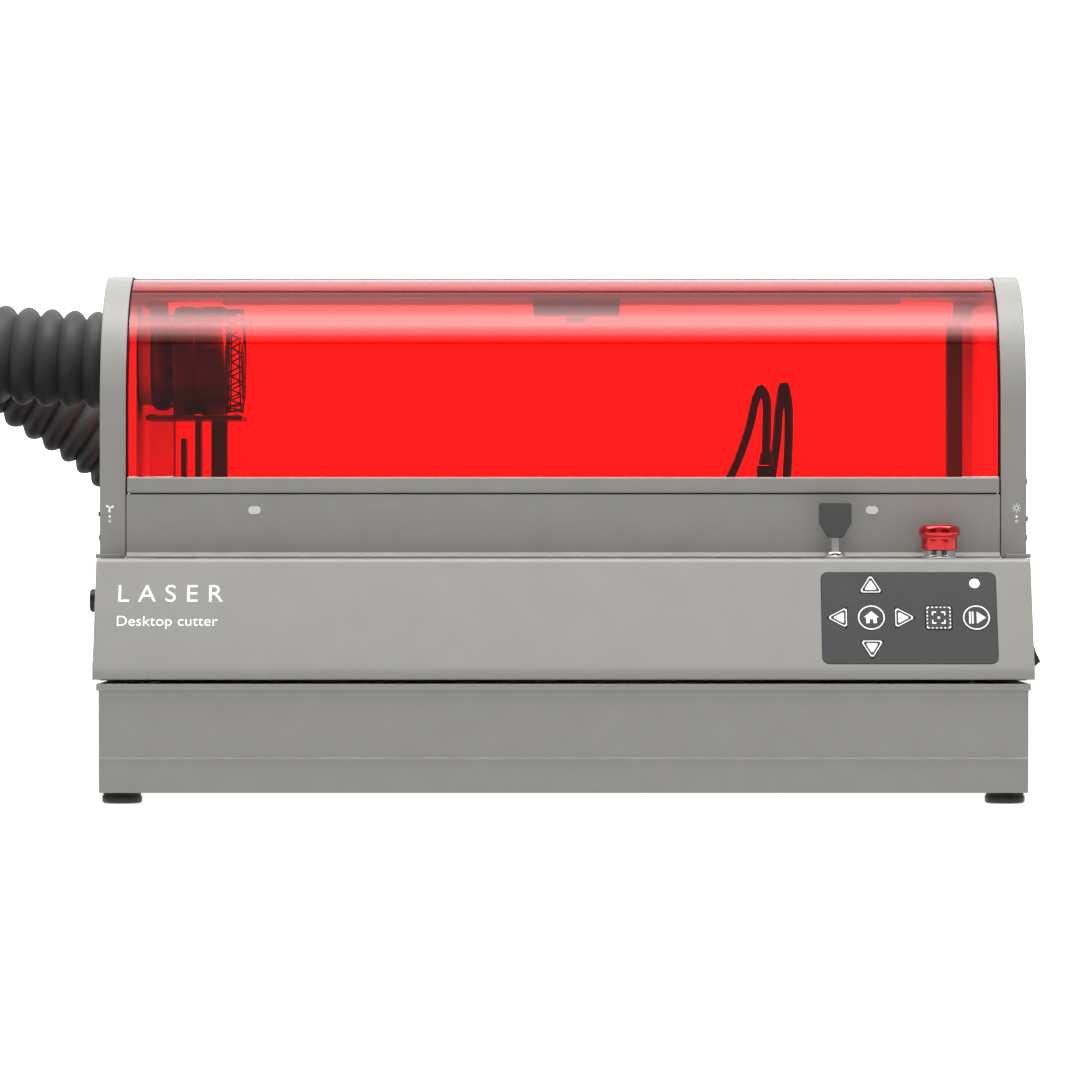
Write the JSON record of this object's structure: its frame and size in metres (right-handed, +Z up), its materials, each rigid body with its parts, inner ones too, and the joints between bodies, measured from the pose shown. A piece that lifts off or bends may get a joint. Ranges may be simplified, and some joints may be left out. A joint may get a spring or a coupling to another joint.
{
  "type": "desktop laser cutter",
  "caption": "Enclosed desktop laser cutter with a curved red acrylic lid, slanted control fascia, gantry laser head, honeycomb bed, waste drawer and exhaust hose",
  "frame": {"origin": "on the table under the middle of the machine's outline, without the hose", "axes": "+X to the machine's right as seen from the front, +Y to its back, +Z up; the control fascia faces -Y"},
  "size_m": [0.9259, 0.7715, 0.3472],
  "materials": {
    "body_grey": "fine satin powder coat, warm mid grey",
    "fascia_grey": "fine satin powder coat, warm light grey",
    "red_acrylic": "clear red laser-safe acrylic, polished",
    "charcoal": "satin charcoal overlay with white printed outlines",
    "black_plastic": "moulded, slightly glossy",
    "black_metal": "black anodised",
    "rubber": "moulded rubber",
    "hose_rubber": "corrugated thin-wall duct, matte",
    "cable_black": "smooth cable jacket",
    "chrome": "polished",
    "steel": "ground shaft",
    "aluminium": "clear anodised",
    "red_metal": "red metallic lacquer, glossy"
  },
  "bodies": {
    "chassis": {"foot_front_left": "rubber", "foot_front_right": "rubber", "foot_rear_left": "rubber", "foot_rear_right": "rubber", "base_tub": "body_grey", "mid_housing": "body_grey", "fascia": "fascia_grey", "control_plate": "charcoal", "key_barrel": "chrome", "estop_collar": "chrome", "side_port": "black_plastic", "side_panel_left": "body_grey", "side_panel_right": "body_grey", "front_panel": "body_grey", "roof_panel": "body_grey", "hinge_pin": "steel", "rear_panel": "body_grey", "rear_window": "red_acrylic", "camera_module": "black_plastic", "light_bar": "aluminium", "honeycomb_bed": "aluminium", "y_rail_left": "aluminium", "y_rail_right": "aluminium", "exhaust_fan_housing": "black_plastic", "fan_bracket": "black_metal", "hose_spigot": "black_plastic", "exhaust_hose": "hose_rubber", "hose_cuff": "black_plastic"},
    "drawer": {"drawer_front": "body_grey", "drawer_tray": "body_grey"},
    "lid": {"lid_window": "red_acrylic", "lid_bar": "body_grey", "lid_hinge_strip": "body_grey"},
    "gantry": {"x_beam": "aluminium", "gantry_end_left": "aluminium", "gantry_end_right": "aluminium", "y_motor": "black_plastic", "x_motor": "black_plastic"},
    "drive_shaft": {"drive_shaft": "steel"},
    "x_pulley": {"x_pulley": "aluminium"},
    "carriage": {"carriage": "aluminium"},
    "laser_head": {"laser_head": "black_metal", "nozzle": "aluminium", "head_cable_front": "cable_black", "head_cable_rear": "cable_black"},
    "head_fan": {"head_fan": "black_plastic"},
    "exhaust_rotor": {"exhaust_rotor": "black_plastic"},
    "key": {"key": "charcoal"},
    "estop_stem": {"estop_stem": "chrome"},
    "estop_cap": {"estop_cap": "red_metal"},
    "rocker_switch": {"rocker_switch": "black_plastic"},
    "fan_slider": {"fan_slider": "black_plastic"},
    "light_slider": {"light_slider": "black_plastic"},
    "key_home": {"key_home": "charcoal"},
    "key_left": {"key_left": "charcoal"},
    "key_right": {"key_right": "charcoal"},
    "key_up": {"key_up": "charcoal"},
    "key_down": {"key_down": "charcoal"},
    "key_frame": {"key_frame": "charcoal"},
    "key_start": {"key_start": "charcoal"}
  },
  "joints": [
    {"name": "drawer_slide", "type": "slide", "parent": "chassis", "child": "drawer", "axis": [0, -1, 0], "range_m": [0, 0.3]},
    {"name": "lid_hinge", "type": "hinge", "parent": "chassis", "child": "lid", "pos_m": [0, -0.046, 0.3448], "axis": [-1, 0, 0], "range_deg": [0, 78]},
    {"name": "gantry_travel", "type": "slide", "parent": "chassis", "child": "gantry", "axis": [0, 1, 0], "range_m": [-0.2, 0.153]},
    {"name": "shaft_turn", "type": "hinge", "parent": "gantry", "child": "drive_shaft", "pos_m": [0, 0.09, 0.14], "axis": [1, 0, 0], "range_deg": [-1400, 1800]},
    {"name": "carriage_travel", "type": "slide", "parent": "gantry", "child": "carriage", "axis": [1, 0, 0], "range_m": [-0.332, 0.063]},
    {"name": "x_pulley_turn", "type": "hinge", "parent": "gantry", "child": "x_pulley", "pos_m": [-0.2683, 0.06, 0.17], "axis": [0, 0, 1], "range_deg": [-3000, 600]},
    {"name": "focus_slide", "type": "slide", "parent": "carriage", "child": "laser_head", "axis": [0, 0, 1], "range_m": [-0.007, 0.015]},
    {"name": "head_fan_spin", "type": "hinge", "parent": "laser_head", "child": "head_fan", "pos_m": [0.137, 0.005, 0.162], "axis": [0, 1, 0], "continuous": true},
    {"name": "exhaust_spin", "type": "hinge", "parent": "chassis", "child": "exhaust_rotor", "pos_m": [-0.275, 0.152, 0.2985], "axis": [1, 0, 0], "continuous": true},
    {"name": "key_turn", "type": "hinge", "parent": "chassis", "child": "key", "pos_m": [0.1776, -0.227, 0.17], "axis": [0, 0, -1], "range_deg": [0, 90]},
    {"name": "estop_push", "type": "slide", "parent": "chassis", "child": "estop_stem", "axis": [0, 0, -1], "range_m": [0, 0.0032]},
    {"name": "estop_twist", "type": "hinge", "parent": "estop_stem", "child": "estop_cap", "pos_m": [0.2457, -0.227, 0.17], "axis": [0, 0, -1], "range_deg": [0, 45]},
    {"name": "power_rock", "type": "hinge", "parent": "chassis", "child": "rocker_switch", "pos_m": [0.3025, -0.2415, 0.094], "axis": [0, 1, 0], "range_deg": [0, 15]},
    {"name": "fan_mode_slide", "type": "slide", "parent": "chassis", "child": "fan_slider", "axis": [0, 0, -1], "range_m": [0, 0.003]},
    {"name": "light_mode_slide", "type": "slide", "parent": "chassis", "child": "light_slider", "axis": [0, 0, 1], "range_m": [0, 0.003]},
    {"name": "home_press", "type": "slide", "parent": "chassis", "child": "key_home", "axis": [0, 0.8957, -0.4446], "range_m": [0, 0.0008], "stiffness_N_per_m": 300},
    {"name": "left_press", "type": "slide", "parent": "chassis", "child": "key_left", "axis": [0, 0.8957, -0.4446], "range_m": [0, 0.0008], "stiffness_N_per_m": 300},
    {"name": "right_press", "type": "slide", "parent": "chassis", "child": "key_right", "axis": [0, 0.8957, -0.4446], "range_m": [0, 0.0008], "stiffness_N_per_m": 300},
    {"name": "up_press", "type": "slide", "parent": "chassis", "child": "key_up", "axis": [0, 0.8957, -0.4446], "range_m": [0, 0.0008], "stiffness_N_per_m": 300},
    {"name": "down_press", "type": "slide", "parent": "chassis", "child": "key_down", "axis": [0, 0.8957, -0.4446], "range_m": [0, 0.0008], "stiffness_N_per_m": 300},
    {"name": "frame_press", "type": "slide", "parent": "chassis", "child": "key_frame", "axis": [0, 0.8957, -0.4446], "range_m": [0, 0.0008], "stiffness_N_per_m": 300},
    {"name": "start_press", "type": "slide", "parent": "chassis", "child": "key_start", "axis": [0, 0.8957, -0.4446], "range_m": [0, 0.0008], "stiffness_N_per_m": 300}
  ],
  "couplings": [
    {"joint": "shaft_turn", "follows": "gantry_travel", "rad_per_m": -156.25},
    {"joint": "x_pulley_turn", "follows": "carriage_travel", "rad_per_m": 156.25}
  ]
}
